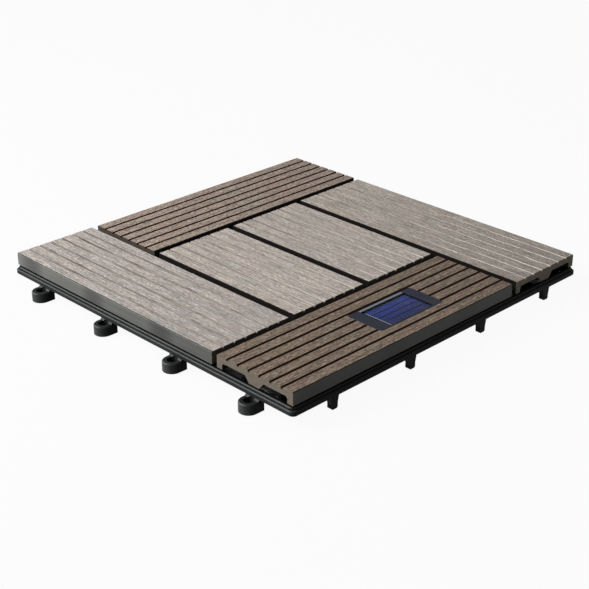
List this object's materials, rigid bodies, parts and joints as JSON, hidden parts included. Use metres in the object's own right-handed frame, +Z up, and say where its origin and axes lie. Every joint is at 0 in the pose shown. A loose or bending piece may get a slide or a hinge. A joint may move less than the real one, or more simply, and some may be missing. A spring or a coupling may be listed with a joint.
{
  "type": "interlocking deck tile with solar light",
  "caption": "Square snap-together deck tile of grooved composite boards on a black plastic base with link loops and pins, with a solar light set flush into one board.",
  "frame": {"origin": "middle of the tile, on the ground plane that its centre foot and other feet stand on", "axes": "+X along the front edge towards the board with the light, +Y away from the front edge towards the back, +Z up out of the walking face; loops on the -Y and -X sides, pins on the +X and +Y sides"},
  "size_m": [0.3089, 0.3089, 0.025],
  "materials": {
    "base_plastic": "satin moulded black plastic",
    "pale_composite": "brushed wood-plastic composite with fine tread grooves",
    "dark_composite": "brushed wood-plastic composite with deep tread grooves",
    "screw_steel": "zinc plated",
    "bezel_plastic": "satin dark slate plastic",
    "frosted_plastic": "frosted translucent",
    "clear_plastic": "clear pane",
    "backing_sheet": "dark blue laminate",
    "solar_cell": "blue crystalline silicon under resin",
    "tinned_metal": "tinned strip",
    "housing_plastic": "moulded",
    "seal_rubber": "foam seal",
    "circuit_laminate": "green solder mask",
    "lamp_resin": "clear resin lamp",
    "chip_resin": "black resin",
    "battery_case": "plain sleeve"
  },
  "bodies": {
    "root": {"base_grid": "base_plastic", "board_front": "pale_composite", "board_back": "pale_composite", "board_centre_front": "pale_composite", "board_centre_back": "pale_composite", "board_right": "dark_composite", "board_left": "dark_composite", "board_screws": "screw_steel", "light_bezel": "bezel_plastic", "light_lens": "frosted_plastic", "light_window": "clear_plastic", "solar_backing": "backing_sheet", "solar_strip_1": "solar_cell", "solar_strip_2": "solar_cell", "solar_strip_3": "solar_cell", "solar_strip_4": "solar_cell", "solar_busbar": "tinned_metal", "light_housing": "housing_plastic", "top_seal": "seal_rubber", "bottom_seal": "seal_rubber", "bottom_plate": "housing_plastic", "light_screws": "screw_steel", "circuit_board": "circuit_laminate", "led_1": "lamp_resin", "led_2": "lamp_resin", "led_3": "lamp_resin", "led_4": "lamp_resin", "control_chip": "chip_resin", "cell_leads": "tinned_metal", "battery": "battery_case", "battery_contact_plus": "tinned_metal", "battery_contact_minus": "tinned_metal"}
  },
  "joints": []
}
